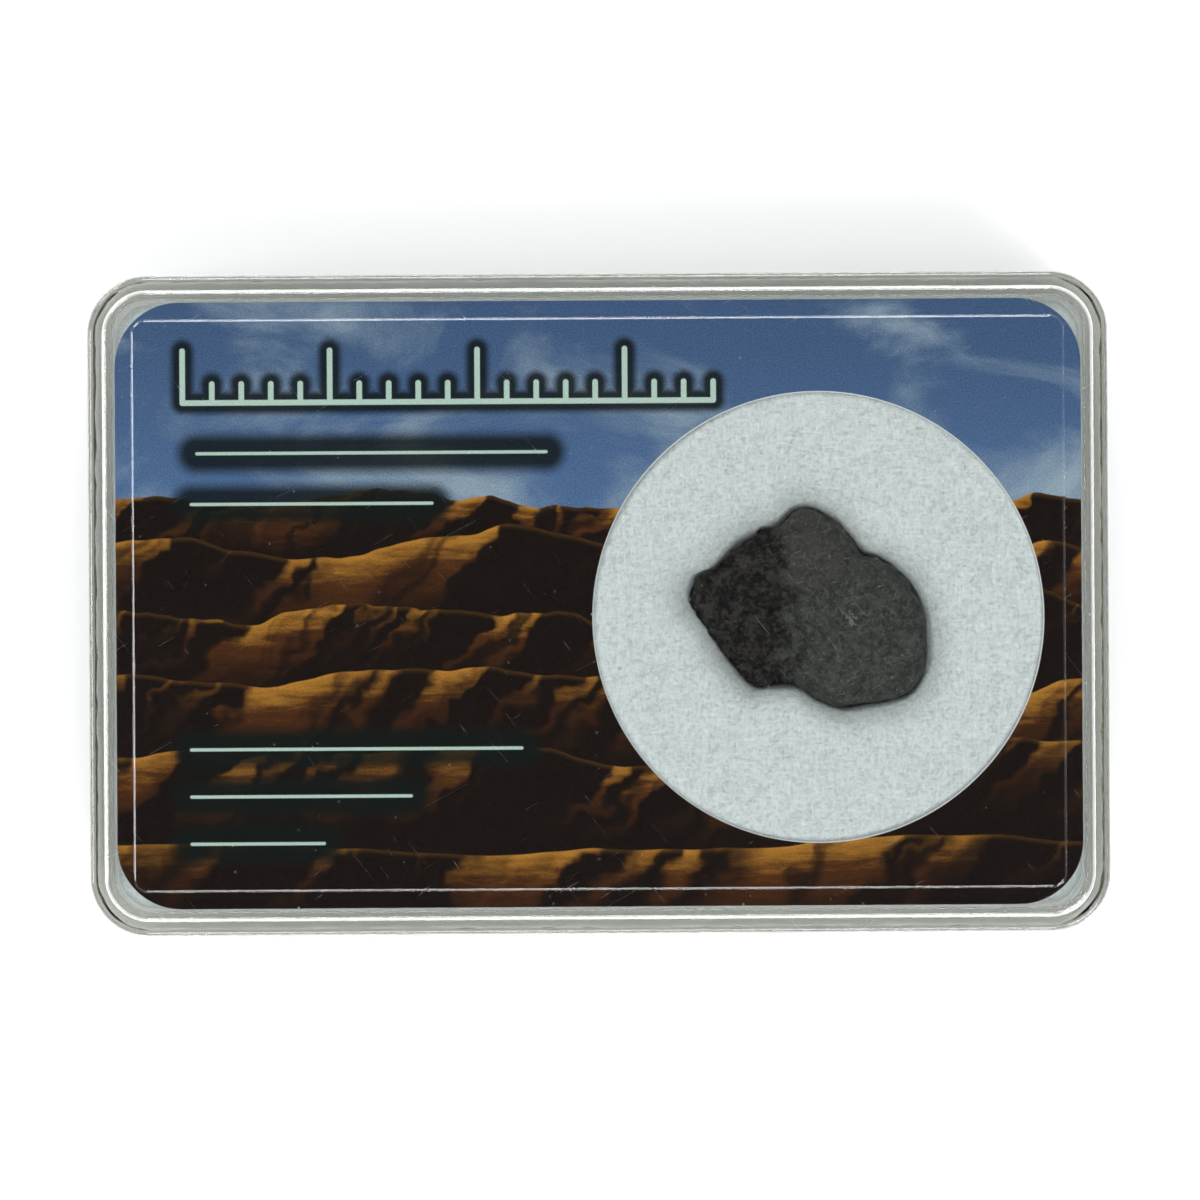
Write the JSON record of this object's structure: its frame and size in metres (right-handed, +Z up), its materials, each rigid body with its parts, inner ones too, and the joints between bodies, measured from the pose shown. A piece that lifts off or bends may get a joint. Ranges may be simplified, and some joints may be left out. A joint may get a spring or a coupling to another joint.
{
  "type": "chondrite meteorite in display box",
  "caption": "Clear flat display box with a lift-off lid, holding a small dark chondrite stone on a white pad behind a printed card with a round window.",
  "frame": {"origin": "centre of the flat underside of the box", "axes": "+X along the long side of the box, towards the window; +Y along its short side, towards the top of the card; +Z up through the lid"},
  "size_m": [0.0864, 0.056, 0.016],
  "materials": {
    "clear_plastic": "gloss",
    "white_pad": "matte",
    "printed_card": "satin",
    "chondrite_stone": "matte"
  },
  "bodies": {
    "root": {"box_base": "clear_plastic", "box_lid": "clear_plastic", "foam_pad": "white_pad", "label_card": "printed_card", "meteorite": "chondrite_stone"}
  },
  "joints": []
}
